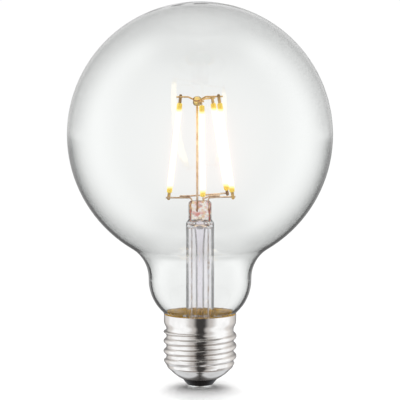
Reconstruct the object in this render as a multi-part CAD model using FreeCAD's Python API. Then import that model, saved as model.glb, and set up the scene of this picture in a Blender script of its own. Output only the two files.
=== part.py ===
import FreeCAD
import Part
import math
import os
from FreeCAD import Matrix, Placement, Vector

# Clear globe lamp: four LED filaments on a glass stem, in a blown globe on an E27 screw cap.
# Millimetres, +Z up along the lamp's axis, origin at the tip of the centre contact.

# Glass globe
GLOBE_DIAMETER = 95.0
GLASS_WALL = 0.9
NECK_DIAMETER = 36.8
NECK_LENGTH = 0.4
NECK_FILLET = 13.0
SHOULDER_RADIUS = 16.0
COLLAR_FILLET = 2.5
COLLAR_LENGTH = 8.0
COLLAR_GAP = 0.2

# Screw cap
CAP_HEIGHT = 26.5
SKIRT_LENGTH = 2.6
SKIRT_FLARE = 2.9
SKIRT_STEP = 0.1
SHEET = 0.3
THREAD_MAJOR = 26.2
THREAD_DEPTH = 1.05
THREAD_PITCH = 3.629
THREAD_RUN_OUT = 0.9
CREST_HEIGHT = 14.9
LOWER_RIM_DIAMETER = 13.5
LOWER_RIM_HEIGHT = 3.3
BOWL_RADIUS = 14.6
LOWER_BEAD_HEIGHT = 7.1
LOWER_BEAD_RISE = 0.18
LOWER_BEAD_WIDTH = 0.5
BOWL_BLEND = 0.15
SHELL_STEPS_ROUND = 24
SHELL_STEPS_PER_PITCH = 8
CEMENT_RECESS = 0.3
FIT_GAP = 0.05

# Contact and insulator
CONTACT_DIAMETER = 8.6
CONTACT_FLAT_DIAMETER = 5.6
CONTACT_THICKNESS = 0.9
CONTACT_RIM = 0.25
SHANK_DIAMETER = 3.0
SHANK_BORE = 1.2
SHANK_PROUD = 0.5
INSULATOR_LIP = 0.15
INSULATOR_THICKNESS = 5.3
INSULATOR_GAP = 0.1

# Glass stem
STEM_DIAMETER = 10.0
STEM_WALL = 1.0
STEM_RISE = 40.9
FLARE_RADIUS = 4.0
FLARE_ANGLE = 75.0
PRESS_WIDTH = 8.2
PRESS_THICKNESS = 3.8
PRESS_HEIGHT = 6.8
PRESS_BLEND = 1.2
PRESS_ROUND = 1.3
BORE_DOME = 2.4
BORE_END_DROP = 7.4
BLOW_HOLE = 1.5
EXHAUST_DIAMETER = 3.0
EXHAUST_WALL = 0.6
EXHAUST_MOUTH = 4.4
EXHAUST_MOUTH_HEIGHT = 9.5
EXHAUST_DROP = 13.2
EXHAUST_TIP = 2.6

# Wires
WIRE_DIAMETER = 0.6
POST_DIAMETER = 0.8
POST_OFFSET = -1.0
POST_SEAL = 4.2
LEAD_SPACING = 6.0
LEAD_TAIL = 0.8
BEND_RADIUS = 0.9
ARM_RISE = 1.0
ARM_STRAIGHT = 4.0
ARM_OVERHANG = 1.2
WELD_LENGTH = 3.4
WELD_START = 0.9

# Filaments
LEFT_BEARING = 178.0
LEFT_FOOT_RADIUS = 11.0
LEFT_HEAD_RADIUS = 7.2
FRONT_BEARING = -85.0
FRONT_FOOT_RADIUS = 11.8
FRONT_HEAD_RADIUS = 7.4
RIGHT_BEARING = 9.0
RIGHT_FOOT_RADIUS = 11.7
RIGHT_HEAD_RADIUS = 7.1
REAR_BEARING = 40.0
REAR_FOOT_RADIUS = 12.6
REAR_HEAD_RADIUS = 6.1
FILAMENT_DIAMETER = 1.9
FILAMENT_LENGTH = 32.5
FILAMENT_ROUND = 0.5
FOOT_RISE = 1.7
TAB_WIDTH = 1.1
TAB_THICKNESS = 0.25
TAB_OVERHANG = 0.9
TAB_ROUND = 0.45

# Bead and upper wires
HEAD_WIRE_RISE = 2.0
HEAD_WIRE_STEP = 0.85
HEAD_WIRE_REACH = 3.2
HEAD_WIRE_DROP = 1.5
BEAD_DIAMETER = 3.1
BEAD_ROUND = 1.1
BEAD_RISE = 0.2
POST_GAP = 0.1
POST_IN_BEAD = 0.45

# Driver
BOARD_THICKNESS = 1.0
BOARD_RISE = 3.8
BOARD_GAP = 0.8
CAPACITOR_DIAMETER = 5.0
CAPACITOR_HEADROOM = 1.5
CAPACITOR_GROOVE_DEPTH = 0.3
CAPACITOR_GROOVE_RADIUS = 0.6
CAPACITOR_GROOVE_RISE = 1.2
CAPACITOR_OFFSET = 6.2
BRIDGE_SIZE = (4.7, 3.9, 2.5)
BRIDGE_OFFSET = 6.0
CHIP_SIZE = (4.9, 3.9, 1.5)
CHIP_OFFSET = 5.4
RESISTOR_DIAMETER = 2.2
RESISTOR_LENGTH = 4.4
RESISTOR_DROP = 1.7
RESISTOR_REACH = 7.4
NEUTRAL_OFFSET = 9.0
NEUTRAL_DIAMETER = 0.5
NEUTRAL_GAP = 0.2
NEUTRAL_RISE = 1.5

# Places worked out from the sizes above
UP = Vector(0, 0, 1)
AXIS_FOOT = Vector(0, 0, 0)
globe_radius = GLOBE_DIAMETER / 2
neck_radius = NECK_DIAMETER / 2
crest_radius = THREAD_MAJOR / 2
root_radius = crest_radius - THREAD_DEPTH
skirt_radius = crest_radius - SKIRT_STEP
skirt_bore = skirt_radius - SHEET
skirt_foot = CAP_HEIGHT - SKIRT_LENGTH
thread_top = skirt_foot - SKIRT_FLARE
bowl_z = LOWER_RIM_HEIGHT + math.sqrt(BOWL_RADIUS ** 2 - (LOWER_RIM_DIAMETER / 2) ** 2)
collar_radius = root_radius - SHEET - COLLAR_GAP
shoulder_centre_r = neck_radius - SHOULDER_RADIUS
rim_glass_r = skirt_bore - CEMENT_RECESS
shoulder_z = CAP_HEIGHT + math.sqrt(SHOULDER_RADIUS ** 2 - (rim_glass_r - shoulder_centre_r) ** 2)
fillet_z = shoulder_z + NECK_LENGTH
globe_z = fillet_z + math.sqrt((globe_radius + NECK_FILLET) ** 2 - (neck_radius + NECK_FILLET) ** 2)
collar_fillet_z = shoulder_z - math.sqrt(
    (SHOULDER_RADIUS + COLLAR_FILLET) ** 2 - (collar_radius + COLLAR_FILLET - shoulder_centre_r) ** 2
)
collar_foot = CAP_HEIGHT - COLLAR_LENGTH
stem_radius = STEM_DIAMETER / 2
flare_lip_r = collar_radius - GLASS_WALL
press_top = CAP_HEIGHT + STEM_RISE
press_foot = press_top - PRESS_HEIGHT
tube_top = press_foot - PRESS_BLEND
bore_radius = stem_radius - STEM_WALL
bore_end = press_top - BORE_END_DROP
dome_radius = (bore_radius ** 2 + BORE_DOME ** 2) / (2 * BORE_DOME)
dome_z = bore_end - dome_radius
arm_z = press_top + ARM_RISE
filament_foot_z = arm_z + FOOT_RISE
head_wire_z = filament_foot_z + FILAMENT_LENGTH + HEAD_WIRE_RISE
wire_radius = WIRE_DIAMETER / 2
post_top = head_wire_z - HEAD_WIRE_STEP - HEAD_WIRE_DROP - wire_radius - POST_GAP
bead_top = head_wire_z + BEAD_RISE
bead_foot = post_top - POST_IN_BEAD
weld_offset = TAB_THICKNESS / 2 + wire_radius
insulator_top = CONTACT_THICKNESS + INSULATOR_THICKNESS
board_foot = insulator_top + BOARD_RISE
board_top = board_foot + BOARD_THICKNESS
bearings = {"left": LEFT_BEARING, "front": FRONT_BEARING, "right": RIGHT_BEARING, "rear": REAR_BEARING}
foot_radii = {
    "left": LEFT_FOOT_RADIUS,
    "front": FRONT_FOOT_RADIUS,
    "right": RIGHT_FOOT_RADIUS,
    "rear": REAR_FOOT_RADIUS,
}
head_radii = {
    "left": LEFT_HEAD_RADIUS,
    "front": FRONT_HEAD_RADIUS,
    "right": RIGHT_HEAD_RADIUS,
    "rear": REAR_HEAD_RADIUS,
}


def at(r, z):
    return Vector(r, 0, z)


def line(start, end):
    return Part.LineSegment(start, end).toShape()


def arc(centre, radius, start, end):
    """Arc in the XZ plane, angles in radians from +X towards +Z."""
    def spot(angle):
        return centre + Vector(radius * math.cos(angle), 0, radius * math.sin(angle))
    return Part.Arc(spot(start), spot((start + end) / 2), spot(end)).toShape()


def turned(edges):
    """Solid of revolution about the lamp's axis from a closed outline."""
    return Part.Face(Part.Wire(Part.__sortEdges__(edges))).revolve(AXIS_FOOT, UP, 360)


def polygon(points):
    return [line(a, b) for a, b in zip(points, points[1:] + points[:1])]


def angle_between(start, end):
    return math.atan2(end.z - start.z, end.x - start.x)


def globe_outline(inset):
    """Edges of the glass from the collar's foot to the crown, moved inwards by inset."""
    collar_centre = at(collar_radius + COLLAR_FILLET, collar_fillet_z)
    shoulder_centre = at(shoulder_centre_r, shoulder_z)
    fillet_centre = at(neck_radius + NECK_FILLET, fillet_z)
    globe_centre = at(0, globe_z)
    shoulder_turn = angle_between(shoulder_centre, collar_centre)
    collar_turn = angle_between(collar_centre, shoulder_centre)
    globe_turn = angle_between(globe_centre, fillet_centre)
    fillet_turn = angle_between(fillet_centre, globe_centre)
    return [
        line(at(collar_radius - inset, collar_foot), at(collar_radius - inset, collar_fillet_z)),
        arc(collar_centre, COLLAR_FILLET + inset, math.pi, collar_turn),
        arc(shoulder_centre, SHOULDER_RADIUS - inset, shoulder_turn, 0),
        line(at(neck_radius - inset, shoulder_z), at(neck_radius - inset, fillet_z)),
        arc(fillet_centre, NECK_FILLET + inset, math.pi, fillet_turn),
        arc(globe_centre, globe_radius - inset, globe_turn, math.pi / 2),
    ]


def globe_body():
    """The globe filled solid, which the cement is fitted to."""
    crown = at(0, globe_z + globe_radius)
    foot = at(0, collar_foot)
    return turned(globe_outline(0) + [line(crown, foot), line(foot, at(collar_radius, collar_foot))])


def glass_globe():
    crown = line(at(0, globe_z + globe_radius), at(0, globe_z + globe_radius - GLASS_WALL))
    foot = line(at(collar_radius, collar_foot), at(collar_radius - GLASS_WALL, collar_foot))
    return turned(globe_outline(0) + globe_outline(GLASS_WALL) + [crown, foot])


def thread_depth(height):
    """Depth below the crest, at a height above a crest: two equal arcs, tangent to each other."""
    radius = ((THREAD_PITCH / 2) ** 2 + THREAD_DEPTH ** 2) / (4 * THREAD_DEPTH)
    offset = abs((height + THREAD_PITCH / 2) % THREAD_PITCH - THREAD_PITCH / 2)
    if offset <= THREAD_PITCH / 4:
        return radius - math.sqrt(radius ** 2 - offset ** 2)
    return THREAD_DEPTH - radius + math.sqrt(radius ** 2 - (THREAD_PITCH / 2 - offset) ** 2)


def smooth_step(share):
    share = min(1, max(0, share))
    return share * share * (3 - 2 * share)


def bowl_radius(z):
    """Lower bowl of the shell, part of a ball, with its rolled bead."""
    drop = max(0, bowl_z - z)
    bead = LOWER_BEAD_RISE * math.exp(-((z - LOWER_BEAD_HEIGHT) / LOWER_BEAD_WIDTH) ** 2)
    return math.sqrt(BOWL_RADIUS ** 2 - drop ** 2) + bead


def shell_radius(angle, z):
    """Outside of the rolled shell: skirt, flare down to the root, thread on it, and bowl."""
    root = root_radius + (skirt_radius - root_radius) * smooth_step((z - thread_top) / SKIRT_FLARE)
    height = THREAD_DEPTH - thread_depth(z - CREST_HEIGHT - THREAD_PITCH * angle / (2 * math.pi))
    fade = 1 - smooth_step((z - thread_top + THREAD_RUN_OUT) / THREAD_RUN_OUT)
    wall = root + fade * height
    bowl = bowl_radius(z)
    return min(wall, bowl) - BOWL_BLEND * math.log1p(math.exp(-abs(wall - bowl) / BOWL_BLEND))


def shell_point(angle, z, inset):
    """Point of the shell's wall, moved inwards along the wall's normal by inset."""
    step = THREAD_PITCH / 1000
    top_fade = 0 if z + step > CAP_HEIGHT else 1
    slope = top_fade * (shell_radius(angle, z + step) - shell_radius(angle, z - step)) / (2 * step)
    slant = math.hypot(1, slope)
    r = shell_radius(angle, z) - inset / slant
    return Vector(r * math.cos(angle), r * math.sin(angle), z + inset * slope / slant)


def shell_wall(inset):
    steps = math.ceil((CAP_HEIGHT - LOWER_RIM_HEIGHT) / THREAD_PITCH * SHELL_STEPS_PER_PITCH)
    heights = [LOWER_RIM_HEIGHT + (CAP_HEIGHT - LOWER_RIM_HEIGHT) * i / steps for i in range(steps + 1)]
    angles = [2 * math.pi * i / SHELL_STEPS_ROUND for i in range(SHELL_STEPS_ROUND + 1)]
    surface = Part.BSplineSurface()
    surface.interpolate([[shell_point(angle, z, inset) for z in heights] for angle in angles])
    return surface.toShape()


def rim_edge(wall, top):
    """The closed edge of a wall at its top or its foot."""
    rings = [edge for edge in wall.Edges if edge.BoundBox.ZLength < SHEET / 10]
    return max(rings, key=lambda edge: edge.CenterOfMass.z if top else -edge.CenterOfMass.z)


def screw_shell():
    """Rolled sheet of even thickness, threaded inside and out."""
    outside = shell_wall(0)
    inside = shell_wall(SHEET)
    rims = [Part.makeRuledSurface(rim_edge(outside, top), rim_edge(inside, top)) for top in (True, False)]
    sheet = Part.makeShell([outside, inside] + rims)
    sheet.sewShape()
    solid = Part.Solid(sheet)
    if solid.Volume < 0:
        solid.reverse()
    return solid


def cap_insulator():
    """Black ring that seats on the inside of the shell's bowl, round the contact's shank."""
    seat_radius = BOWL_RADIUS - SHEET - INSULATOR_GAP
    centre = at(0, bowl_z)
    bore = SHANK_DIAMETER / 2 + FIT_GAP
    neck = LOWER_RIM_DIAMETER / 2 - SHEET - INSULATOR_GAP
    neck_foot = at(neck, LOWER_RIM_HEIGHT - INSULATOR_GAP)
    neck_top = at(neck, bowl_z - math.sqrt(seat_radius ** 2 - neck ** 2))
    rim = at(math.sqrt(seat_radius ** 2 - (bowl_z - insulator_top) ** 2), insulator_top)
    lip = at(CONTACT_DIAMETER / 2 + INSULATOR_LIP, CONTACT_THICKNESS)
    return turned([
        line(at(bore, insulator_top), at(bore, CONTACT_THICKNESS)),
        line(at(bore, CONTACT_THICKNESS), lip),
        line(lip, neck_foot),
        line(neck_foot, neck_top),
        arc(centre, seat_radius, angle_between(centre, neck_top), angle_between(centre, rim)),
        line(rim, at(bore, insulator_top)),
    ])


def centre_contact():
    """Disc with a flat tip, rounded up to its rim, and a hollow shank."""
    edge_r = CONTACT_DIAMETER / 2
    flat_r = CONTACT_FLAT_DIAMETER / 2
    shank_r = SHANK_DIAMETER / 2
    bore_r = SHANK_BORE / 2
    shank_top = insulator_top + SHANK_PROUD
    edge = at(edge_r, CONTACT_THICKNESS - CONTACT_RIM)
    dome_radius = ((edge_r - flat_r) ** 2 + edge.z ** 2) / (2 * edge.z)
    dome_centre = at(flat_r, dome_radius)
    return turned([
        line(at(0, 0), at(flat_r, 0)),
        arc(dome_centre, dome_radius, -math.pi / 2, angle_between(dome_centre, edge)),
        line(edge, at(edge_r, CONTACT_THICKNESS)),
        line(at(edge_r, CONTACT_THICKNESS), at(shank_r, CONTACT_THICKNESS)),
        line(at(shank_r, CONTACT_THICKNESS), at(shank_r, shank_top)),
        line(at(shank_r, shank_top), at(bore_r, shank_top)),
        line(at(bore_r, shank_top), at(bore_r, CONTACT_THICKNESS)),
        line(at(bore_r, CONTACT_THICKNESS), at(0, CONTACT_THICKNESS)),
        line(at(0, CONTACT_THICKNESS), at(0, 0)),
    ])


def cap_cement():
    """Ring of cement between the skirt and the glass, fitted to the glass."""
    top = CAP_HEIGHT - CEMENT_RECESS
    outer = skirt_bore - FIT_GAP
    inner = collar_radius - GLASS_WALL
    ring = turned(polygon([at(inner, skirt_foot), at(outer, skirt_foot), at(outer, top), at(inner, top)]))
    return ring.cut(globe_body())


def tube_section(z):
    """Round section of the stem in four arcs, to match the press's four edges."""
    def spot(degrees):
        angle = math.radians(degrees)
        return Vector(stem_radius * math.cos(angle), stem_radius * math.sin(angle), z)
    quarters = [(45 + 90 * i, 90 + 90 * i, 135 + 90 * i) for i in range(4)]
    return Part.Wire([Part.Arc(spot(a), spot(b), spot(c)).toShape() for a, b, c in quarters])


def press_section(z):
    """Flattened section with round ends, longer along X."""
    round_end = PRESS_THICKNESS / 2
    flat = PRESS_WIDTH / 2 - round_end
    right_rear = Vector(flat, round_end, z)
    left_rear = Vector(-flat, round_end, z)
    left_front = Vector(-flat, -round_end, z)
    right_front = Vector(flat, -round_end, z)
    return Part.Wire([
        line(right_rear, left_rear),
        Part.Arc(left_rear, Vector(-PRESS_WIDTH / 2, 0, z), left_front).toShape(),
        line(left_front, right_front),
        Part.Arc(right_front, Vector(PRESS_WIDTH / 2, 0, z), right_rear).toShape(),
    ])


def flare_drop(inset):
    """How far the flare's lip lies below the start of its bend."""
    turn = math.radians(FLARE_ANGLE)
    bend = FLARE_RADIUS + inset
    spread = stem_radius + FLARE_RADIUS - bend * math.cos(turn)
    return bend * math.sin(turn) + (flare_lip_r - spread) / math.tan(turn)


def stem_outline(inset, top):
    """Flare from its lip, and tube up to a height, moved inwards by inset."""
    flare_z = collar_foot + flare_drop(STEM_WALL)
    turn = math.radians(FLARE_ANGLE)
    bend = arc(at(stem_radius + FLARE_RADIUS, flare_z), FLARE_RADIUS + inset, turn - math.pi, -math.pi)
    lip = at(flare_lip_r, flare_z - flare_drop(inset))
    tube_r = stem_radius - inset
    return [line(lip, bend.valueAt(bend.FirstParameter)), bend, line(at(tube_r, flare_z), at(tube_r, top))]


def dome_arc(start_r, end_r):
    """Part of the domed end of the stem's bore, between two radii."""
    start = math.acos(start_r / dome_radius)
    end = math.acos(end_r / dome_radius)
    return arc(at(0, dome_z), dome_radius, start, end)


def stem_bore():
    """Space inside the flare and the tube, closed by a dome under the press."""
    below = collar_foot - STEM_WALL
    return turned(stem_outline(STEM_WALL, bore_end - BORE_DOME) + [
        dome_arc(bore_radius, 0),
        line(at(0, bore_end), at(0, below)),
        line(at(0, below), at(flare_lip_r, below)),
        line(at(flare_lip_r, below), at(flare_lip_r, collar_foot)),
    ])


def glass_stem(wires):
    """Flare, tube and press in one piece, sealed round the wires."""
    lip_top = collar_foot + flare_drop(STEM_WALL) - flare_drop(0)
    tube = turned(stem_outline(0, tube_top) + [
        line(at(stem_radius, tube_top), at(0, tube_top)),
        line(at(0, tube_top), at(0, collar_foot)),
        line(at(0, collar_foot), at(flare_lip_r, collar_foot)),
        line(at(flare_lip_r, collar_foot), at(flare_lip_r, lip_top)),
    ])
    blend = Part.makeLoft([tube_section(tube_top), press_section(press_foot)], True)
    press = Part.Face(press_section(press_foot)).extrude(UP * PRESS_HEIGHT)
    top_edges = [edge for edge in press.Edges if edge.BoundBox.ZMin > press_top - PRESS_ROUND]
    press = press.makeFillet(PRESS_ROUND, top_edges)
    hole_z = bore_end + BLOW_HOLE
    hole_r = BLOW_HOLE / 2
    blow_hole = Part.makeCylinder(hole_r, hole_z - dome_z, Vector(0, 0, dome_z), UP)
    side_hole = Part.makeCylinder(hole_r, STEM_DIAMETER, Vector(0, 0, hole_z), Vector(0, 1, 0))
    stem = tube.fuse([blend, press]).removeSplitter()
    return stem.cut([stem_bore(), blow_hole, side_hole] + wires)


def exhaust_tube():
    """Thin tube from the stem's dome down into the cap, opened to a funnel and melted shut at its foot."""
    r = EXHAUST_DIAMETER / 2
    bore = r - EXHAUST_WALL
    mouth = EXHAUST_MOUTH / 2
    foot = EXHAUST_DROP
    neck = bore_end - EXHAUST_MOUTH_HEIGHT
    mouth_edge = dome_arc(mouth, mouth - EXHAUST_WALL)
    outline = [
        mouth_edge.valueAt(mouth_edge.LastParameter),
        at(bore, neck),
        at(bore, foot + EXHAUST_TIP),
        at(0, foot + EXHAUST_TIP - EXHAUST_WALL),
        at(0, foot),
        at(EXHAUST_WALL, foot),
        at(r, foot + EXHAUST_TIP),
        at(r, neck),
        mouth_edge.valueAt(mouth_edge.FirstParameter),
    ]
    return turned([line(a, b) for a, b in zip(outline, outline[1:])] + [mouth_edge])


def bent_wire(points, diameter):
    """Round wire along straight runs joined by tangent arcs."""
    edges = []
    start = points[0]
    for before, corner, after in zip(points, points[1:], points[2:]):
        way_in = (corner - before).normalize()
        way_out = (after - corner).normalize()
        turn = way_in.getAngle(way_out)
        setback = BEND_RADIUS * math.tan(turn / 2)
        arc_start = corner - way_in * setback
        arc_end = corner + way_out * setback
        to_centre = (way_out - way_in).normalize()
        centre = corner + to_centre * (BEND_RADIUS / math.cos(turn / 2))
        edges.append(line(start, arc_start))
        edges.append(Part.Arc(arc_start, centre - to_centre * BEND_RADIUS, arc_end).toShape())
        start = arc_end
    edges.append(line(start, points[-1]))
    section = Part.Circle(points[0], points[1] - points[0], diameter / 2).toShape()
    return Part.Wire(edges).makePipeShell([Part.Wire(section)], True, False)


def bearing(name):
    angle = math.radians(bearings[name])
    return Vector(math.cos(angle), math.sin(angle), 0)


def beside(name):
    """Level direction across a filament's upright plane."""
    return UP.cross(bearing(name))


def weld_line(name, radius, z, straight, overhang):
    """Start and end of the straight wire that lies against a filament's tab."""
    side = beside(name) * weld_offset + UP * z
    return bearing(name) * (radius - straight) + side, bearing(name) * (radius + overhang) + side


def foot_line(name, z):
    return weld_line(name, foot_radii[name], z, ARM_STRAIGHT, ARM_OVERHANG)


def lead_wire(side, name):
    """From under the driver board up through the press, then out as an arm to a filament's foot."""
    x = side * LEAD_SPACING / 2
    foot = Vector(x, 0, board_foot - LEAD_TAIL)
    elbow = Vector(x, 0, arm_z)
    return bent_wire([foot, elbow] + list(foot_line(name, arm_z)), WIRE_DIAMETER)


def branch_wire(side, lead_name, name):
    """Lies welded along the top of a lead's arm, then turns to another filament's foot."""
    elbow = Vector(side * LEAD_SPACING / 2, 0, arm_z)
    along = (foot_line(lead_name, arm_z)[0] - elbow).normalize()
    lift = UP * WIRE_DIAMETER
    tail = elbow + lift + along * (WELD_START + WELD_LENGTH)
    corner = elbow + lift + along * WELD_START
    return bent_wire([tail, corner] + list(foot_line(name, arm_z + WIRE_DIAMETER)), WIRE_DIAMETER)


def filament_foot(name):
    return bearing(name) * foot_radii[name] + UP * filament_foot_z


def filament_way(name):
    """Direction of a filament from its foot to its head."""
    lean = (head_radii[name] - foot_radii[name]) / FILAMENT_LENGTH
    return bearing(name) * lean + UP * math.sqrt(1 - lean ** 2)


def filament(name):
    radius = FILAMENT_DIAMETER / 2
    bar = Part.makeCylinder(radius, FILAMENT_LENGTH, filament_foot(name), filament_way(name))
    rims = [edge for edge in bar.Edges if edge.Curve.TypeId == "Part::GeomCircle"]
    return bar.makeFillet(FILAMENT_ROUND, rims)


def tab(name, start, way, wire_z):
    """Flat strip from a filament's end past the wire that it is welded to, with a round free end."""
    length = abs(wire_z - start.z) / abs(way.z) + TAB_OVERHANG
    thick = beside(name)
    wide = thick.cross(way)
    strip = Part.makeBox(TAB_WIDTH, TAB_THICKNESS, length, Vector(-TAB_WIDTH / 2, -TAB_THICKNESS / 2, 0))
    corners = [edge for edge in strip.Edges if edge.BoundBox.ZMin > 0 and edge.BoundBox.XLength < TAB_ROUND]
    strip = strip.makeFillet(TAB_ROUND, corners)
    frame = Matrix(
        wide.x, thick.x, way.x, start.x,
        wide.y, thick.y, way.y, start.y,
        wide.z, thick.z, way.z, start.z,
        0, 0, 0, 1,
    )
    strip.Placement = Placement(frame)
    return strip


def head_line(name, z):
    reach = HEAD_WIRE_REACH + POST_OFFSET * bearing(name).x
    return weld_line(name, head_radii[name], z, head_radii[name] - reach, ARM_OVERHANG)


def head_wire(first, second, z):
    """Upper wire from one filament's head, down into the bead and up to another's."""
    inner_first, end_first = head_line(first, z)
    inner_second, end_second = head_line(second, z)
    centre = Vector(POST_OFFSET, 0, z - HEAD_WIRE_DROP)
    return bent_wire([end_first, inner_first, centre, inner_second, end_second], WIRE_DIAMETER)


def centre_post():
    foot = Vector(POST_OFFSET, 0, press_top - POST_SEAL)
    return Part.makeCylinder(POST_DIAMETER / 2, post_top - foot.z, foot)


def hub_bead(wires):
    """Glass bead melted round the post and the upper wires."""
    foot = Vector(POST_OFFSET, 0, bead_foot)
    bead = Part.makeCylinder(BEAD_DIAMETER / 2, bead_top - bead_foot, foot)
    rims = [edge for edge in bead.Edges if edge.Curve.TypeId == "Part::GeomCircle"]
    return bead.makeFillet(BEAD_ROUND, rims).cut(wires)


def driver_board(wires):
    radius = root_radius - SHEET - BOARD_GAP
    return Part.makeCylinder(radius, BOARD_THICKNESS, Vector(0, 0, board_foot)).cut(wires)


def smoothing_capacitor():
    """Can that fills the room under the flare, with the crimped groove above its seal."""
    radius = CAPACITOR_DIAMETER / 2
    length = collar_foot - CAPACITOR_HEADROOM - board_top
    foot = Vector(0, CAPACITOR_OFFSET, board_top)
    can = Part.makeCylinder(radius, length, foot)
    groove_r = radius - CAPACITOR_GROOVE_DEPTH + CAPACITOR_GROOVE_RADIUS
    groove = Part.makeTorus(groove_r, CAPACITOR_GROOVE_RADIUS, foot + UP * CAPACITOR_GROOVE_RISE)
    return can.cut(groove)


def package(size, middle_y, z):
    """Moulded package of a surface-mounted part, on the board."""
    width, depth, height = size
    return Part.makeBox(width, depth, height, Vector(-width / 2, middle_y - depth / 2, z))


def fuse_resistor():
    """Body on its own bent lead, from the contact's shank to the board."""
    z = board_foot - RESISTOR_DROP
    points = [
        Vector(0, 0, CONTACT_THICKNESS),
        Vector(0, 0, z),
        Vector(0, -RESISTOR_REACH, z),
        Vector(0, -RESISTOR_REACH, board_foot),
    ]
    start = Vector(0, (RESISTOR_LENGTH - RESISTOR_REACH) / 2, z)
    body = Part.makeCylinder(RESISTOR_DIAMETER / 2, RESISTOR_LENGTH, start, Vector(0, -1, 0))
    return bent_wire(points, WIRE_DIAMETER).fuse(body)


def neutral_wire():
    """From the board's left edge to the inside of the first thread crest above it."""
    left_crest = CREST_HEIGHT - THREAD_PITCH / 2
    turns = math.ceil((board_top + NEUTRAL_RISE - left_crest) / THREAD_PITCH)
    crest = left_crest + turns * THREAD_PITCH
    reach = crest_radius - SHEET - NEUTRAL_GAP
    points = [
        Vector(-NEUTRAL_OFFSET, 0, board_top),
        Vector(-NEUTRAL_OFFSET, 0, crest),
        Vector(-reach, 0, crest),
    ]
    return bent_wire(points, NEUTRAL_DIAMETER)


def lamp():
    """All pieces by name."""
    lead_left = lead_wire(-1, "left")
    lead_right = lead_wire(1, "right")
    post = centre_post()
    head_upper = head_wire("left", "right", head_wire_z)
    head_lower = head_wire("front", "rear", head_wire_z - HEAD_WIRE_STEP)
    pieces = {
        "glass_globe": glass_globe(),
        "glass_stem": glass_stem([lead_left, lead_right, post]),
        "exhaust_tube": exhaust_tube(),
        "hub_bead": hub_bead([post, head_upper, head_lower]),
        "lead_wire_left": lead_left,
        "lead_wire_right": lead_right,
        "branch_wire_rear": branch_wire(-1, "left", "rear"),
        "branch_wire_front": branch_wire(1, "right", "front"),
        "centre_post": post,
        "head_wire_left_right": head_upper,
        "head_wire_front_rear": head_lower,
        "screw_shell": screw_shell(),
        "cap_insulator": cap_insulator(),
        "centre_contact": centre_contact(),
        "cap_cement": cap_cement(),
        "driver_board": driver_board([lead_left, lead_right]),
        "smoothing_capacitor": smoothing_capacitor(),
        "bridge_rectifier": package(BRIDGE_SIZE, -BRIDGE_OFFSET, board_top),
        "driver_chip": package(CHIP_SIZE, CHIP_OFFSET, board_foot - CHIP_SIZE[2]),
        "fuse_resistor": fuse_resistor(),
        "neutral_wire": neutral_wire(),
    }
    for name in bearings:
        on_lead = name in ("left", "right")
        foot_wire_z = arm_z if on_lead else arm_z + WIRE_DIAMETER
        upper_wire_z = head_wire_z if on_lead else head_wire_z - HEAD_WIRE_STEP
        way = filament_way(name)
        foot = filament_foot(name)
        pieces[f"filament_{name}"] = filament(name)
        pieces[f"foot_tab_{name}"] = tab(name, foot, way * -1, foot_wire_z)
        pieces[f"head_tab_{name}"] = tab(name, foot + way * FILAMENT_LENGTH, way, upper_wire_z)
    return pieces


os.makedirs("parts", exist_ok=True)
for node, shape in lamp().items():
    shape.exportStep(f"parts/{node}.step")
print(f"lamp height {globe_z + globe_radius:.1f} mm")
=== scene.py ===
# %% [markdown]
# A clear globe lamp with four LED filaments
# The lamp comes as a finished model: every wire, tab and turn of thread is already there at its real
# size. This lesson gives it its looks: glass that bends light, bright plated metal, glowing filaments,
# and the studio that such glass is photographed in. All lengths are in metres, and +Z runs up the lamp's
# axis.

# %% Load the model and keep its box
import math

import bpy
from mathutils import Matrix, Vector


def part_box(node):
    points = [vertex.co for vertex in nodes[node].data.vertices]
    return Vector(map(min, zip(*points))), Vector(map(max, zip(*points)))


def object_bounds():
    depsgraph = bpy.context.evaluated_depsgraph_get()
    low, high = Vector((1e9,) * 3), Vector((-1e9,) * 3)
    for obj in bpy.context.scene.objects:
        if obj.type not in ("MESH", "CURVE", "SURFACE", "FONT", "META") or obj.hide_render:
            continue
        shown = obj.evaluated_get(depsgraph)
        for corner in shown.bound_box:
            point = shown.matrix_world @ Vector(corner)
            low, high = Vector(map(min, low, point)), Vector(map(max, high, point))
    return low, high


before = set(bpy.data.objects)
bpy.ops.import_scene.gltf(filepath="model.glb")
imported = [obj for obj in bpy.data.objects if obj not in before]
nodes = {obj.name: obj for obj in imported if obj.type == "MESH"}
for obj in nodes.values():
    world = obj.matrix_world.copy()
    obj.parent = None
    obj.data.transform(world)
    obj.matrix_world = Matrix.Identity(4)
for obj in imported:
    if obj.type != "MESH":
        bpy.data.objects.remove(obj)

cad_low, cad_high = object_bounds()
MM = 0.001
print("pieces:", len(nodes), "height in mm:", round((cad_high.z - cad_low.z) / MM, 1))

# %% [markdown]
# The camera
# The lamp is seen from a little above its middle, from far away through a long lens, so that upright
# lines stay upright. The camera could be fitted by eye. Here it is placed from a few measures: how far it
# stands, how high it looks from, how wide a field fills the picture, and how far under the globe's middle
# it aims.

# %% Camera
CAMERA_DISTANCE = 1.6
CAMERA_ELEVATION = math.radians(6.0)
FIELD_WIDTH = 142.8 * MM
AIM_DROP = 23.55 * MM

globe_radius = (cad_high.x - cad_low.x) / 2
globe_centre = Vector((0, 0, cad_high.z - globe_radius))
stand_off = Vector((0, -math.cos(CAMERA_ELEVATION), math.sin(CAMERA_ELEVATION)))
aim = globe_centre - Vector((0, 0, AIM_DROP))

camera = bpy.data.objects.new("camera", bpy.data.cameras.new("camera"))
bpy.context.scene.collection.objects.link(camera)
camera.location = globe_centre + stand_off * CAMERA_DISTANCE
camera.rotation_euler = (aim - camera.location).to_track_quat("-Z", "Y").to_euler()
camera.data.lens = camera.data.sensor_width * CAMERA_DISTANCE / FIELD_WIDTH
bpy.context.scene.camera = camera
print("lens in mm:", round(camera.data.lens))

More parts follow.
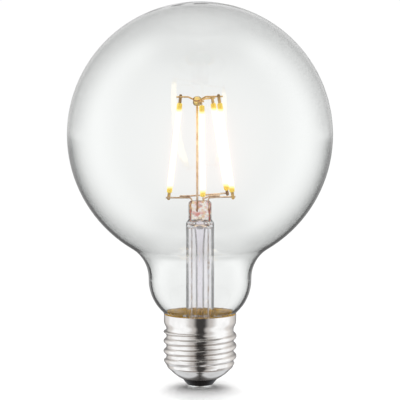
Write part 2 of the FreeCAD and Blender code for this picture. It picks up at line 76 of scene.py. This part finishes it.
# %% [markdown]
# Small helpers for shader nodes
# A material in Blender is a little drawing of boxes and lines. It could be drawn by hand in the shader
# editor. In a script, these helpers put a box down, set what it needs and join two boxes, so that each
# finish below reads as a short list. A Mix box has sockets for numbers, arrows and colours, and the
# colours are the ones counted here.

# %% Node helpers
MIX_COLOURS_IN = (6, 7)
MIX_COLOUR_OUT = 2


def put(tree, kind, **settings):
    """New node. A setting is one of the node's own, or an input's value with _ for a blank in its name."""
    node = tree.nodes.new(kind)
    for name, value in settings.items():
        if hasattr(node, name):
            setattr(node, name, value)
        else:
            node.inputs[name.replace("_", " ")].default_value = value
    return node


def join(tree, source, target):
    tree.links.new(source, target)


def feed(tree, socket, value):
    """Sets a number or a colour on a socket, or joins another node's output to it."""
    if isinstance(value, (int, float)):
        socket.default_value = value
    elif isinstance(value, tuple):
        socket.default_value = (*value, 1.0)
    else:
        join(tree, value, socket)


def math_node(tree, operation, first, second=0.0):
    node = put(tree, "ShaderNodeMath", operation=operation)
    feed(tree, node.inputs[0], first)
    feed(tree, node.inputs[1], second)
    return node.outputs[0]


def colour_mix(tree, blend, factor, first, second):
    node = put(tree, "ShaderNodeMix", data_type="RGBA", blend_type=blend)
    feed(tree, node.inputs["Factor"], factor)
    for place, colour in zip(MIX_COLOURS_IN, (first, second)):
        feed(tree, node.inputs[place], colour)
    return node.outputs[MIX_COLOUR_OUT]


def ramp(tree, factor, stops):
    """Colour ramp with (place, colour) stops and soft steps between them."""
    node = put(tree, "ShaderNodeValToRGB")
    node.color_ramp.interpolation = "EASE"
    elements = node.color_ramp.elements
    while len(elements) < len(stops):
        elements.new(1.0)
    for element, (place, colour) in zip(elements, stops):
        element.position = place
        element.color = (*colour, 1.0)
    join(tree, factor, node.inputs["Fac"])
    return node.outputs["Color"]


def grey(value):
    return (value, value, value)


helpers = (put, join, feed, math_node, colour_mix, ramp, grey)
print("node helpers:", ", ".join(helper.__name__ for helper in helpers))

# %% [markdown]
# The studio
# Clear glass shows what stands behind it, and dark cards beside that ground draw its edge. Bright metal
# shows what stands in front: two broad white panels with a dark gap at the camera between them. A
# photographer lights each in turn and joins the frames. The sky here holds them all: a ground for light
# that came straight through glass, a room for what glass mirrors, one for what metal mirrors, and a long
# soft light for all the rest. Lamps could stand there as objects, but panels in the sky have soft edges
# and no noise.

# %% Directions of the sky
world = bpy.data.worlds.new("studio")
bpy.context.scene.world = world
world.use_nodes = True
sky = world.node_tree
direction = put(sky, "ShaderNodeSeparateXYZ")
join(sky, put(sky, "ShaderNodeTexCoord").outputs["Generated"], direction.inputs["Vector"])
right, back, up = direction.outputs
bearing = math_node(sky, "ARCTAN2", right, math_node(sky, "MULTIPLY", back, -1.0))
bearing_share = math_node(sky, "ADD", math_node(sky, "DIVIDE", bearing, 2 * math.pi), 0.5)
print("sky for", world.name)

# %% [markdown]
# A panel is a soft patch of light in the sky, with stops of brightness from side to side and from low to
# high. The two are multiplied, so a panel fades out at all its edges. Real studio panels are hung and
# aimed by hand. Here angles from the lamp are enough, because the sky is endlessly far away.


# %% Panels of light
def by_angle(over, stops):
    """Light of the sky by its angle over a plane, in degrees, from how far it stands over that plane."""
    angle = math_node(sky, "ARCSINE", over)
    share = math_node(sky, "ADD", math_node(sky, "DIVIDE", angle, math.pi), 0.5)
    return ramp(sky, share, [((degrees + 90) / 180, grey(level)) for degrees, level in stops])


def by_height(stops, lean=0.0):
    """Light of the sky by its height, in degrees, over a table that may lean up to the back."""
    upright = math_node(sky, "MULTIPLY", up, math.cos(lean))
    leaned = math_node(sky, "MULTIPLY", back, math.sin(lean))
    return by_angle(math_node(sky, "SUBTRACT", upright, leaned), stops)


def by_bearing(stops):
    """Light of the sky by bearing, in degrees to the right of the camera, as greys or colours."""
    places = [(degrees + 180) / 360 for degrees, level in stops]
    colours = [level if isinstance(level, tuple) else grey(level) for degrees, level in stops]
    return ramp(sky, bearing_share, list(zip(places, colours)))


def panel(side_stops, height_stops):
    return colour_mix(sky, "MULTIPLY", 1.0, by_bearing(side_stops), by_height(height_stops))


def both_sides(stops):
    """Stops to the right of the camera, and the same to its left."""
    return [(-degrees, level) for degrees, level in reversed(stops)] + stops


print("a panel on both sides:", both_sides([(30, 1.0), (60, 0.0)]))

# %% [markdown]
# The ground behind the glass is white and brightest just under the horizon. Light that passes a hollow
# piece crosses two walls. At the rim it runs along inside a single wall and is bent far to the side,
# where dark cards stand that draw the outline. Cards that all light could see would darken the glass from
# the side. So the walls are counted, two faces each, and the cards are seen only after an odd number of
# walls.

# %% Ground seen through the glass
FACES_OF_TWO_WALLS = 4.0
FACES_OF_ONE_WALL = 2.0
HALF_STEP = 0.5
DEEP_GREEN = (0.035, 0.06, 0.052)
GROUND_HEIGHTS = [(-90, 0.84), (-9, 0.9), (-6, 0.95), (-3.5, 0.87), (0, 0.72), (6, 0.52), (40, 0.31)]
CARD_SIDES = both_sides([(60, 0.8), (78, DEEP_GREEN), (138, DEEP_GREEN), (156, 1.0)])
CARD_HEIGHTS = [(-55, 0.0), (-35, 1.0), (35, 1.0), (55, 0.0)]

path = put(sky, "ShaderNodeLightPath").outputs
faces = path["Transmission Depth"]
left_over = math_node(sky, "MODULO", faces, FACES_OF_TWO_WALLS)
odd_walls = math_node(sky, "COMPARE", left_over, FACES_OF_ONE_WALL)
one_wall = math_node(sky, "LESS_THAN", faces, FACES_OF_ONE_WALL + HALF_STEP)
at_rim = math_node(sky, "MULTIPLY", one_wall, by_height(CARD_HEIGHTS))
clear_ground = panel(both_sides([(60, 0.9), (156, 1.0)]), GROUND_HEIGHTS)
rim_ground = colour_mix(sky, "MIX", at_rim, panel(CARD_SIDES, GROUND_HEIGHTS), DEEP_GREEN)
ground = colour_mix(sky, "MIX", odd_walls, clear_ground, rim_ground)
print("ground stops:", len(CARD_SIDES) + len(GROUND_HEIGHTS))

# %% [markdown]
# What the glass mirrors is a broad soft light in front that is brightest at its two sides, a paler one
# far behind for the rim of the upper globe, and a dim one low behind the lamp, which shades the lower
# globe, the crease and the neck. One even white room would be simpler, but then the glass would fade into
# the white paper.

# %% Room that the glass mirrors
glass_front = panel(
    both_sides([(66, 0.68), (104, 1.05), (150, 0.0)]),
    [(-72, 0.5), (-52, 1.0), (48, 1.0), (70, 0.5)],
)
glass_back = panel(
    both_sides([(110, 0.0), (150, 0.62), (165, 0.75), (180, 0.8)]),
    [(-9, 0.0), (-7, 0.2), (-5, 0.9), (30, 1.0)],
)
glass_low = panel(
    both_sides([(148, 0.0), (158, 0.9), (166, 1.0), (180, 0.8)]),
    [(-40, 0.1), (-25, 0.12), (-19, 0.15), (-16, 0.2), (-13, 0.3), (-10, 0.37), (-7, 0.3), (-5, 0.0)],
)
glass_room = colour_mix(sky, "ADD", 1.0, colour_mix(sky, "ADD", 1.0, glass_front, glass_back), glass_low)
print("three panels for the glass")

# %% [markdown]
# What the metal mirrors is two white panels that fade towards a dark gap at the camera. Under them lies a
# taupe card that leans up to the back, with white strips far behind for the bowl at the shell's foot. The
# thread's lower flanks and the bowl face down, so they take the card's colour. Straight overhead the
# globe is in the way, so there it is dim. A flat card would reach equally high all round. Leaned, it
# reaches higher behind the lamp than in front.

# %% Room that the metal mirrors
COOL_WHITE = (1.78, 1.88, 1.97)
BOWL_WHITE = (1.08, 1.14, 1.2)
TAUPE = (0.46, 0.42, 0.395)
CARD_LEAN = math.radians(19)

metal_front = panel(
    [
        (-180, 0.2), (-165, 0.33), (-128, 1.2), (-106, COOL_WHITE), (-56, COOL_WHITE), (-26, 0.95),
        (-8, 0.08), (13, 0.08),
        (33, 0.95), (63, COOL_WHITE), (98, COOL_WHITE), (121, 1.3), (145, 0.8), (165, 0.33), (180, 0.2),
    ],
    [(50, 1.0), (72, 0.25)],
)
metal_card = by_bearing([
    (-180, 0.08), (-168, 0.2), (-155, BOWL_WHITE), (-130, BOWL_WHITE), (-100, TAUPE), (-40, TAUPE),
    (-10, 0.06), (13, 0.06),
    (43, TAUPE), (100, TAUPE), (130, BOWL_WHITE), (155, BOWL_WHITE), (168, 0.2), (180, 0.08),
])
on_card = by_height([(-48, 1.0), (-43, 0.0)], CARD_LEAN)
metal_room = colour_mix(sky, "MIX", on_card, metal_front, metal_card)
print("white panels and a leaning card for the metal")

# %% [markdown]
# The soft light that all dull surfaces see is a strip that runs overhead from front to back and is
# stronger behind. A round light would throw a round shadow, which looks flat from so low a camera. The
# strip draws it out towards the viewer.

# %% Long soft light
along_strip = panel(both_sides([(80, 2.8), (100, 5.6)]), [(16, 0.02), (36, 1.0), (45, 1.0), (65, 0.6)])
across_strip = by_angle(right, both_sides([(12, 1.0), (30, 0.02)]))
soft_light = colour_mix(sky, "MULTIPLY", 1.0, along_strip, across_strip)
print("one strip light from front to back")

# %% [markdown]
# Each ray takes the part that is meant for it. Clear glass mirrors sharply and metal doesn't, which tells
# the two rooms apart. The camera itself sees plain white paper. Colours go to the picture as they are,
# without a film look, so that white paper stays white.

# %% Sky put together
PAPER_LEVEL = 1.02
bounced = math_node(sky, "ADD", path["Glossy Depth"], path["Diffuse Depth"])
not_bounced = math_node(sky, "LESS_THAN", bounced, HALF_STEP)
straight = math_node(sky, "MULTIPLY", path["Is Transmission Ray"], not_bounced)
room = colour_mix(sky, "MIX", path["Is Singular Ray"], metal_room, glass_room)
seen = colour_mix(sky, "MIX", path["Is Camera Ray"], soft_light, grey(PAPER_LEVEL))
seen = colour_mix(sky, "MIX", path["Is Glossy Ray"], seen, room)
seen = colour_mix(sky, "MIX", straight, seen, ground)
join(sky, seen, sky.nodes["Background"].inputs["Color"])
bpy.context.scene.view_settings.view_transform = "Standard"
print("paper level:", PAPER_LEVEL)

# %% [markdown]
# The floor
# The lamp stands for its portrait on a pale floor, as white as the paper behind, that takes its soft
# shadow. A disc is enough. Mirrored and bent light doesn't see the floor, as if the lamp had been cut out
# and set on white. A finish is a material with one all-round shader, and what is the same all over is set
# on that shader itself.


# %% Floor
def new_finish(name, **constants):
    """Material with its node tree and its shader, which takes the constants."""
    material = bpy.data.materials.new(name)
    material.use_nodes = True
    shader = material.node_tree.nodes["Principled BSDF"]
    for socket, value in constants.items():
        shader.inputs[socket.replace("_", " ")].default_value = value
    return material, material.node_tree, shader


FLOOR_RADIUS = 0.2
FLOOR_SIDES = 96
FLOOR_GAP = 0.05 * MM
PALE = (0.9, 0.9, 0.9, 1)

turns = [2 * math.pi * step / FLOOR_SIDES for step in range(FLOOR_SIDES)]
floor_level = cad_low.z - FLOOR_GAP
floor_edge = [(FLOOR_RADIUS * math.cos(turn), FLOOR_RADIUS * math.sin(turn), floor_level) for turn in turns]
floor_mesh = bpy.data.meshes.new("floor")
floor_mesh.from_pydata(floor_edge, [], [range(FLOOR_SIDES)])
floor = bpy.data.objects.new("floor", floor_mesh)
bpy.context.scene.collection.objects.link(floor)
floor.visible_glossy = False
floor.visible_transmission = False
paper = new_finish("floor_paper", Base_Color=PALE, Roughness=1.0, Specular_IOR_Level=0.0)[0]
floor_mesh.materials.append(paper)
print("floor radius in m:", FLOOR_RADIUS)

# %% [markdown]
# Effects that several finishes share
# Real surfaces are uneven in a few ways that come back on many pieces: rolled rings, grain, heat, waves.
# Each could be drawn anew in every material. Here each is a node group with named inputs and outputs,
# made once and placed in a material with its own values. They all start from noise that is measured in
# millimetres on the lamp.

# %% Group helpers
FLOAT = "NodeSocketFloat"
COLOUR = "NodeSocketColor"


def new_group(name, inputs, outputs):
    """Empty node group with its sockets, and its two end nodes."""
    group = bpy.data.node_groups.new(name, "ShaderNodeTree")
    for socket, kind, value in inputs:
        slot = group.interface.new_socket(socket, in_out="INPUT", socket_type=kind)
        slot.default_value = value
    for socket, kind in outputs:
        group.interface.new_socket(socket, in_out="OUTPUT", socket_type=kind)
    print("group:", name, "gives", ", ".join(socket for socket, kind in outputs))
    return group, put(group, "NodeGroupInput").outputs, put(group, "NodeGroupOutput").inputs


def lamp_noise(tree, scale, detail, stretch=(1, 1, 1)):
    """Noise over the lamp, with a scale in bumps per millimetre that is stretched along each axis."""
    mapping = put(tree, "ShaderNodeMapping", Scale=tuple(share / MM for share in stretch))
    join(tree, put(tree, "ShaderNodeTexCoord").outputs["Object"], mapping.inputs["Vector"])
    node = put(tree, "ShaderNodeTexNoise", Detail=detail)
    join(tree, mapping.outputs["Vector"], node.inputs["Vector"])
    join(tree, scale, node.inputs["Scale"])
    return node.outputs["Fac"]


print("group helpers:", new_group.__name__, lamp_noise.__name__)

# %% [markdown]
# Turned marks are the fine rings that rolling and drawing leave on sheet metal, and a cloudy film of
# handling. A noise that is squeezed along the lamp's axis gives the rings, and a plain one gives the
# film.

# %% Turned marks
RING_STRETCH = (0.12, 0.12, 9.0)
turned_marks, given, made = new_group(
    "turned_marks",
    [("Ring Scale", FLOAT, 1.0), ("Film Scale", FLOAT, 0.3)],
    [("Rings", FLOAT), ("Film", FLOAT)],
)
rings = lamp_noise(turned_marks, given["Ring Scale"], detail=3.0, stretch=RING_STRETCH)
film = lamp_noise(turned_marks, given["Film Scale"], detail=5.0)
join(turned_marks, rings, made["Rings"])
join(turned_marks, film, made["Film"])

# %% [markdown]
# Grain is the fine roughness of baked cement, moulded plastic and printed boards: small lumps, and a slow
# change of tone from place to place. A scanned texture could give it, but noise fits every piece without
# a seam, so two noises of different sizes do it here.

# %% Grain
grain, given, made = new_group(
    "grain",
    [("Lump Scale", FLOAT, 4.0), ("Tone Scale", FLOAT, 0.4)],
    [("Lumps", FLOAT), ("Tone", FLOAT)],
)
join(grain, lamp_noise(grain, given["Lump Scale"], detail=6.0), made["Lumps"])
join(grain, lamp_noise(grain, given["Tone Scale"], detail=2.0), made["Tone"])

# %% [markdown]
# Wires and tabs have been through a flame and a welder. Heat leaves straw and brown tints in patches, so
# this group mixes a clean colour with a heated one by a noise whose middle is stretched to give the
# patches an edge.

# %% Heat tint
PATCH_EDGES = (0.38, 0.62)
heat_tint, given, made = new_group(
    "heat_tint",
    [
        ("Clean", COLOUR, (0.8, 0.5, 0.3, 1)),
        ("Heated", COLOUR, (0.3, 0.15, 0.08, 1)),
        ("Patch Scale", FLOAT, 0.5),
    ],
    [("Colour", COLOUR), ("Tint", FLOAT)],
)
patches = lamp_noise(heat_tint, given["Patch Scale"], detail=3.0)
edged = put(heat_tint, "ShaderNodeMapRange", From_Min=PATCH_EDGES[0], From_Max=PATCH_EDGES[1])
join(heat_tint, patches, edged.inputs["Value"])
tinted = colour_mix(heat_tint, "MIX", edged.outputs["Result"], given["Clean"], given["Heated"])
join(heat_tint, tinted, made["Colour"])
join(heat_tint, patches, made["Tint"])

# %% [markdown]
# Blown glass is never quite even: its wall runs thicker and thinner in slow waves. The eye reads that
# from reflections that wander a little. The waves are far too shallow to model, so a slow noise tilts the
# surface instead.

# %% Blown waves
blown_waves, given, made = new_group("blown_waves", [("Wave Scale", FLOAT, 0.05)], [("Waves", FLOAT)])
join(blown_waves, lamp_noise(blown_waves, given["Wave Scale"], detail=1.0), made["Waves"])

# %% [markdown]
# Finishes
# The finishes follow one by one. Numbers that are the same all over a surface go straight on the shader,
# and groups bring what varies. Noise mostly stays between 0.3 and 0.7, so colours and roughness are
# spread over that range. A bump node turns a height into a tilted surface without moving it, which is
# right for marks that are far too fine to model.

# %% Finish helpers
NOISE_LOW = 0.3
NOISE_HIGH = 0.7


def place_group(tree, group, **values):
    node = put(tree, "ShaderNodeGroup", node_tree=group)
    for socket, value in values.items():
        node.inputs[socket.replace("_", " ")].default_value = value
    return node.outputs


def paint(tree, shader, noise, dark, light):
    """Base colour that runs from a dark to a light tone with a noise."""
    tone = ramp(tree, noise, [(NOISE_LOW, dark), (NOISE_HIGH, light)])
    join(tree, tone, shader.inputs["Base Color"])


def roughen(tree, shader, noise, smooth, rough):
    """Roughness that runs from smooth to rough with a noise."""
    node = put(
        tree, "ShaderNodeMapRange", From_Min=NOISE_LOW, From_Max=NOISE_HIGH, To_Min=smooth, To_Max=rough
    )
    join(tree, noise, node.inputs["Value"])
    join(tree, node.outputs["Result"], shader.inputs["Roughness"])


def bump(tree, shader, height, depth):
    node = put(tree, "ShaderNodeBump", Distance=depth, Strength=1.0)
    join(tree, height, node.inputs["Height"])
    join(tree, node.outputs["Normal"], shader.inputs["Normal"])


def dress(material, *names):
    for name in names:
        nodes[name].material_slots[0].material = material
    print("finish:", material.name, "on", len(names), "pieces")


helpers = (place_group, paint, roughen, bump, dress)
print("finish helpers:", ", ".join(helper.__name__ for helper in helpers))

# %% [markdown]
# The screw shell is rolled from thin sheet and nickel-plated. It is a bright mirror, a little softened by
# the rolls that pressed the thread in. A perfect mirror would look unreal, so the rings tilt it very
# slightly and the film of handling changes its tone and its gloss. One function makes all turned metal.


# %% Nickel plate
def turned_metal(name, ring_scale, film_scale, tones, roughness, depth):
    material, tree, shader = new_finish(name, Metallic=1.0)
    marks = place_group(tree, turned_marks, Ring_Scale=ring_scale, Film_Scale=film_scale)
    paint(tree, shader, marks["Film"], *tones)
    roughen(tree, shader, marks["Film"], *roughness)
    bump(tree, shader, marks["Rings"], depth)
    return material


nickel = turned_metal(
    "nickel_plate", ring_scale=1.0, film_scale=0.25, depth=0.004 * MM,
    tones=((0.50, 0.47, 0.445), (0.56, 0.53, 0.505)), roughness=(0.07, 0.16),
)
dress(nickel, "screw_shell")

# %% [markdown]
# The centre contact and the wire to the shell are tinned. Solder tin is softer and greyer than nickel,
# with coarser rings from the press, so the same function gets a rougher gloss and deeper marks.

# %% Tinned contact
tin = turned_metal(
    "tinned_contact", ring_scale=2.0, film_scale=0.6, depth=0.01 * MM,
    tones=((0.48, 0.47, 0.45), (0.62, 0.60, 0.57)), roughness=(0.2, 0.42),
)
dress(tin, "centre_contact", "neutral_wire")

# %% [markdown]
# The insulator ring between shell and contact is black and moulded. Black is never one flat black: its
# tone and its dull shine shift a little, and fine lumps break the highlight. One function makes all
# grainy finishes.


# %% Black insulator
def grainy_finish(name, lump_scale, tone_scale, tones, roughness, depth, rough_with="Lumps", **constants):
    material, tree, shader = new_finish(name, **constants)
    grains = place_group(tree, grain, Lump_Scale=lump_scale, Tone_Scale=tone_scale)
    paint(tree, shader, grains["Tone"], *tones)
    roughen(tree, shader, grains[rough_with], *roughness)
    bump(tree, shader, grains["Lumps"], depth)
    return material


insulator = grainy_finish(
    "black_insulator", lump_scale=3.0, tone_scale=0.6, depth=0.01 * MM,
    tones=(grey(0.003), grey(0.008)), roughness=(0.22, 0.38), rough_with="Tone", Specular_IOR_Level=0.08,
)
dress(insulator, "cap_insulator")

# %% [markdown]
# The cement that holds the glass in the cap is stone flour in resin, baked until it turns amber. It shows
# as a golden ring through the neck. Clear amber resin would look golden too, but the flour makes it dull
# and lumpy. So its colour is deep, it hardly shines, and it is made with the grain.

# %% Baked cement
cement = grainy_finish(
    "baked_cement", lump_scale=2.2, tone_scale=0.35, depth=0.04 * MM,
    tones=((0.27, 0.135, 0.0), (0.43, 0.235, 0.002)), roughness=(0.45, 0.8), Specular_IOR_Level=0.03,
)
dress(cement, "cap_cement")

# %% [markdown]
# The bead on top of the post is a drop of clear glass that holds the upper wires. Its amber colour is
# painted light: it stands in for the warm glow of the lit filaments close by. Clear glass is drawn by what
# it bends and mirrors, so apart from that colour its shader is plain, and the waves of its surface do the
# work.

# %% Bead glass
GLASS_IOR = 1.51


def new_glass(name, **constants):
    return new_finish(name, IOR=GLASS_IOR, Transmission_Weight=1.0, **constants)


# The amber base colour is painted glow from the filaments. The bead's own glass is clear.
bead, tree, shader = new_glass("bead_glass", Base_Color=(1.0, 0.70, 0.18, 1), Roughness=0.08)
bump(tree, shader, place_group(tree, blown_waves, Wave_Scale=0.5)["Waves"], depth=0.05 * MM)
dress(bead, "hub_bead")

# %% [markdown]
# The globe is blown from a gather of glass, and the last of it sets at the crown. There the wall is less
# even than anywhere else and draws a dark line that wanders. The waves could be modelled, but they are a
# few hundredths of a millimetre deep. So a bump has slow waves all over and stronger ones that grow
# towards the crown.


# %% Globe glass
def height_share(tree, low, high):
    """0 below a height on the lamp, 1 above another, and even in between."""
    place = put(tree, "ShaderNodeSeparateXYZ")
    join(tree, put(tree, "ShaderNodeTexCoord").outputs["Object"], place.inputs["Vector"])
    share = put(tree, "ShaderNodeMapRange", From_Min=low, From_Max=high)
    join(tree, place.outputs["Z"], share.inputs["Value"])
    return share.outputs["Result"]


CROWN_DEPTH = 6.0 * MM
CROWN_WAVES = 40.0
MEAN_WAVE = 0.5
globe, tree, shader = new_glass("globe_glass", Base_Color=(0.985, 0.995, 0.99, 1), Roughness=0.0)
in_crown = math_node(tree, "POWER", height_share(tree, cad_high.z - CROWN_DEPTH, cad_high.z), 2.0)
gathered = place_group(tree, blown_waves, Wave_Scale=0.09)["Waves"]
up_and_down = math_node(tree, "SUBTRACT", gathered, MEAN_WAVE)
crown_waves = math_node(tree, "MULTIPLY", math_node(tree, "MULTIPLY", up_and_down, in_crown), CROWN_WAVES)
even_waves = place_group(tree, blown_waves, Wave_Scale=0.05)["Waves"]
bump(tree, shader, math_node(tree, "ADD", even_waves, crown_waves), depth=0.01 * MM)
dress(globe, "glass_globe")

# %% [markdown]
# The stem is pinched flat at its head while the glass is soft, to seal the wires. The jaws leave this press
# uneven. Its red and straw clouds are painted reflections: colour in the glass that stands in for the sheen
# of the copper wires mirrored in the uneven press. Below the press the tube is clear, with a trace of
# violet. Two materials could share the piece, but they would meet in a hard line. So one material blends
# them by height.

# %% Stem glass
PRESS_DEPTH = 6.4 * MM
PRESS_BLEND = 1.0 * MM
PINCH_WAVES = 22.0
STEM_TINT = (0.988, 0.978, 0.996)
# Painted reflections: the copper wires' red and straw sheen, put into the glass colour of the press.
PAINTED_PRESS_REFLECTIONS = [
    (0.36, (0.95, 0.62, 0.26)), (0.43, (1.0, 0.91, 0.80)), (0.49, (1.0, 0.97, 0.96)),
    (0.55, (0.93, 0.72, 0.68)), (0.62, (0.78, 0.30, 0.26)),
]
press_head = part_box("glass_stem")[1].z
press_foot = press_head - PRESS_DEPTH

stem, tree, shader = new_glass("stem_glass", Roughness=0.05)
in_press = height_share(tree, press_foot - PRESS_BLEND, press_foot + PRESS_BLEND)
pinch = place_group(tree, blown_waves, Wave_Scale=0.5)["Waves"]
# The pinch noise picks the painted reflection colours in the press.
painted_reflections = ramp(tree, pinch, PAINTED_PRESS_REFLECTIONS)
join(tree, colour_mix(tree, "MIX", in_press, STEM_TINT, painted_reflections), shader.inputs["Base Color"])
pinched = math_node(tree, "MULTIPLY", math_node(tree, "MULTIPLY", pinch, in_press), PINCH_WAVES)
drawn = place_group(tree, blown_waves, Wave_Scale=0.25)["Waves"]
bump(tree, shader, math_node(tree, "ADD", drawn, pinched), depth=0.04 * MM)
dress(stem, "glass_stem", "exhaust_tube")

# %% [markdown]
# Clear glass lets nearly all light pass, and its own shadow is faint. A renderer finds it hard to follow
# light through bent walls to the floor and would make that shadow black. So the glass is left out of the
# shadows.

# %% Light through the glass
GLASS_PIECES = ("glass_globe", "glass_stem", "exhaust_tube", "hub_bead")
for name in GLASS_PIECES:
    nodes[name].visible_shadow = False
print("without a shadow:", len(GLASS_PIECES), "pieces")

# %% [markdown]
# The wires change along their way: tinned inside the stem, red where their copper coat has fused with the
# glass of the press, and golden above it, where heat has dulled them in patches. A wire could be cut into
# pieces with a material each, but the real one is in one piece. Its height over the head of the press
# tells the colours apart.


# %% Lead wire
def colour_by_height(tree, stops):
    """Colours by (height, colour) stops, with heights in metres from low to high."""
    low, high = stops[0][0], stops[-1][0]
    places = [((height - low) / (high - low), colour) for height, colour in stops]
    return ramp(tree, height_share(tree, low, high), places)


WIRE_COLOURS = [
    (-8.8, (0.80, 0.80, 0.82)), (-7.4, (0.62, 0.16, 0.10)), (-3.8, (0.70, 0.20, 0.13)),
    (-2.6, (0.95, 0.66, 0.28)), (0.6, (0.74, 0.56, 0.40)), (22.6, (0.92, 0.76, 0.50)),
    (33.6, (0.86, 0.60, 0.24)),
]
wire, tree, shader = new_finish("lead_wire", Metallic=1.0)
metal = colour_by_height(tree, [(press_head + height * MM, colour) for height, colour in WIRE_COLOURS])
heat = place_group(tree, heat_tint, Clean=(1, 1, 1, 1), Heated=(0.70, 0.58, 0.48, 1), Patch_Scale=0.35)
join(tree, colour_mix(tree, "MULTIPLY", 1.0, metal, heat["Colour"]), shader.inputs["Base Color"])
roughen(tree, shader, heat["Tint"], smooth=0.3, rough=0.5)
bump(tree, shader, heat["Tint"], depth=0.02 * MM)
dress(
    wire, "lead_wire_left", "lead_wire_right", "branch_wire_rear", "branch_wire_front",
    "centre_post", "head_wire_left_right", "head_wire_front_rear",
)

# %% [markdown]
# Each filament ends in two tabs, stamped from strip and browned by the weld. One brown would look
# painted, so the heat tint runs from brass to a dark brown.

# %% Browned tabs
SIDES = ("left", "front", "right", "rear")
browned, tree, shader = new_finish("browned_tab", Metallic=1.0)
heat = place_group(
    tree, heat_tint, Clean=(0.74, 0.47, 0.14, 1), Heated=(0.20, 0.10, 0.03, 1), Patch_Scale=0.2
)
join(tree, heat["Colour"], shader.inputs["Base Color"])
roughen(tree, shader, heat["Tint"], smooth=0.25, rough=0.5)
bump(tree, shader, heat["Tint"], depth=0.02 * MM)
dress(browned, *[f"{end}_tab_{side}" for side in SIDES for end in ("foot", "head")])

# %% [markdown]
# A filament is a strip of tiny blue chips under a yellow coat. Lit, the coat is too bright to look at
# along the chips, and plain yellow at both ends where there are none. Lamps inside the bars could light
# them, but the coat itself is what glows, so its own emission changes with the place along the filament,
# which is its height.

# %% Glowing coat
GLOW = 1.7
COLD_FOOT = 2.26 * MM
COLD_HEAD = 2.83 * MM
END_FADE = 1.1 * MM
YELLOW_END = (0.06, 0.045, 0.0)
WHITE_HOT = (1.0, 0.86, 0.68)
filament_low, filament_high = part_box("filament_left")
lit_foot = filament_low.z + COLD_FOOT
lit_head = filament_high.z - COLD_HEAD

coat, tree, shader = new_finish("glowing_coat", Roughness=0.5, Emission_Strength=GLOW)
light = colour_by_height(tree, [
    (lit_foot - END_FADE, YELLOW_END), (lit_foot + END_FADE, WHITE_HOT),
    (lit_head - END_FADE, WHITE_HOT), (lit_head + END_FADE, YELLOW_END),
])
join(tree, light, shader.inputs["Emission Color"])
grains = place_group(tree, grain, Lump_Scale=1.5, Tone_Scale=0.5)
paint(tree, shader, grains["Tone"], dark=(0.78, 0.51, 0.03), light=(0.85, 0.59, 0.05))
bump(tree, shader, grains["Lumps"], depth=0.02 * MM)
dress(coat, *[f"filament_{side}" for side in SIDES])
print("lit length in mm:", round((lit_head - lit_foot) / MM, 1))

# %% [markdown]
# The driver sits in the cap and hardly shows, but someone may lift the shell off. It has a green printed
# board, black moulded packages, a drawn metal can and a resistor with a blue-grey flameproof coat. The
# two functions above fit them all.

# %% Driver finishes
board = grainy_finish(
    "printed_board", lump_scale=2.0, tone_scale=0.8, depth=0.01 * MM,
    tones=((0.02, 0.12, 0.04), (0.03, 0.18, 0.06)), roughness=(0.3, 0.45),
)
package = grainy_finish(
    "moulded_package", lump_scale=6.0, tone_scale=1.0, depth=0.02 * MM,
    tones=(grey(0.012), grey(0.022)), roughness=(0.5, 0.7),
)
flameproof = grainy_finish(
    "flameproof_coat", lump_scale=3.0, tone_scale=0.7, depth=0.03 * MM,
    tones=((0.09, 0.16, 0.20), (0.13, 0.22, 0.27)), roughness=(0.4, 0.6),
)
can = turned_metal(
    "drawn_can", ring_scale=1.5, film_scale=0.5, depth=0.006 * MM,
    tones=(grey(0.66), grey(0.78)), roughness=(0.2, 0.35),
)
dress(board, "driver_board")
dress(package, "bridge_rectifier", "driver_chip")
dress(flameproof, "fuse_resistor")
dress(can, "smoothing_capacitor")

# %% [markdown]
# A lens spreads very bright light a little. The glow round the filaments is that, and not a haze in the
# lamp, so it is added to the finished picture, from its brightest parts alone. Light crosses many glass
# walls on its way here, so it may also bend and bounce more often than usual.

# %% Lens glow
GLOW_THRESHOLD = 1.15
GLOW_STRENGTH = 0.6
GLOW_SIZE = 0.45
GLOW_TINT = (1.0, 0.6, 0.6, 1.0)
LIGHT_BOUNCES = 24

scene = bpy.context.scene
scene.use_nodes = True
picture = scene.node_tree
picture.nodes.clear()
taken = put(picture, "CompositorNodeRLayers")
glow = put(
    picture, "CompositorNodeGlare", glare_type="BLOOM", quality="HIGH",
    Threshold=GLOW_THRESHOLD, Strength=GLOW_STRENGTH, Size=GLOW_SIZE, Tint=GLOW_TINT,
)
shown = put(picture, "CompositorNodeComposite")
join(picture, taken.outputs["Image"], glow.inputs["Image"])
join(picture, glow.outputs["Image"], shown.inputs["Image"])
scene.cycles.max_bounces = LIGHT_BOUNCES
scene.cycles.transmission_bounces = LIGHT_BOUNCES
print("glow threshold:", GLOW_THRESHOLD)
